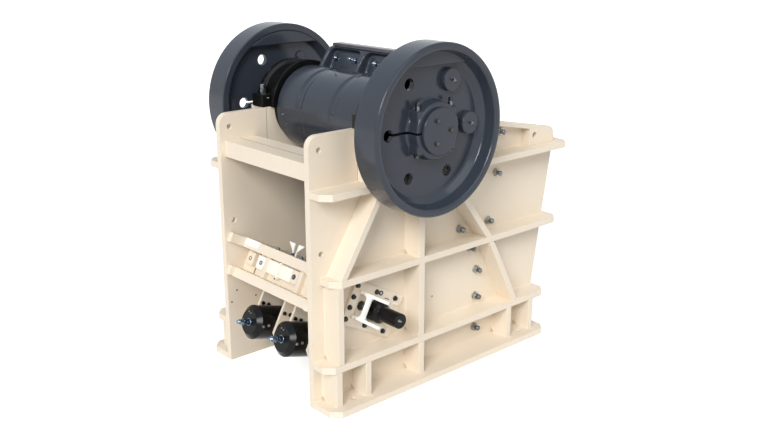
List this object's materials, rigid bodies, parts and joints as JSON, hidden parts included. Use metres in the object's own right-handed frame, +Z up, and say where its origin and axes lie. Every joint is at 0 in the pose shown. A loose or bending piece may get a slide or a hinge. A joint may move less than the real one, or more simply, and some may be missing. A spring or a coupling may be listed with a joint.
{
  "type": "jaw crusher",
  "caption": "Single-toggle jaw crusher with a ribbed plate frame, flywheels on an eccentric shaft, pitman, jaw dies, toggle gear and sprung tension rods.",
  "frame": {"origin": "on the floor, in the middle of the overall length and width", "axes": "+X from the rear towards the fixed jaw, +Y along the shaft, +Z up"},
  "size_m": [2.7592, 2.03, 2.622],
  "materials": {
    "cream_paint": "semi-gloss",
    "grey_paint": "gloss",
    "black_paint": "gloss",
    "steel": "satin",
    "manganese_steel": "rough"
  },
  "bodies": {
    "frame": {"adjusting_wedges": "cream_paint", "beam_keepers": "cream_paint", "fixed_jaw_die": "manganese_steel", "front_wall": "cream_paint", "left_base_flange": "cream_paint", "left_bearing_housing": "black_paint", "left_bearing_seat": "cream_paint", "left_diagonal_ribs": "cream_paint", "left_lifting_lug": "cream_paint", "left_lower_flange": "cream_paint", "left_lower_ribs": "cream_paint", "left_middle_flange": "cream_paint", "left_side_plate": "cream_paint", "left_upper_flange": "cream_paint", "left_upper_ribs": "cream_paint", "lower_cheek_plates": "manganese_steel", "rear_cross_beam": "cream_paint", "right_base_flange": "cream_paint", "right_bearing_housing": "black_paint", "right_bearing_seat": "cream_paint", "right_diagonal_ribs": "cream_paint", "right_lifting_lug": "cream_paint", "right_lower_flange": "cream_paint", "right_lower_ribs": "cream_paint", "right_middle_flange": "cream_paint", "right_side_plate": "cream_paint", "right_upper_flange": "cream_paint", "right_upper_ribs": "cream_paint", "rod_hangers": "cream_paint", "spring_cans": "black_paint", "tension_rods": "steel", "toggle_beam": "cream_paint", "toggle_block": "cream_paint", "toggle_plate": "steel", "upper_cheek_plates": "manganese_steel", "wedge_covers": "cream_paint", "wedge_cylinders": "black_paint"},
    "crankshaft": {"balance_plugs": "grey_paint", "eccentric_shaft": "steel", "hub_caps": "grey_paint", "left_flywheel": "grey_paint", "right_flywheel": "grey_paint"},
    "pitman": {"jaw_clamp_bar": "grey_paint", "pitman": "grey_paint", "swing_jaw_die": "manganese_steel"}
  },
  "joints": [
    {"name": "shaft_turn", "type": "hinge", "parent": "frame", "child": "crankshaft", "pos_m": [-0.4445, 0, 2.012], "axis": [0, 1, 0], "continuous": true},
    {"name": "pitman_orbit", "type": "hinge", "parent": "crankshaft", "child": "pitman", "pos_m": [-0.4445, 0, 1.996], "axis": [0, 1, 0], "continuous": true}
  ],
  "couplings": [
    {"joint": "pitman_orbit", "follows": "shaft_turn", "ratio": -1}
  ]
}
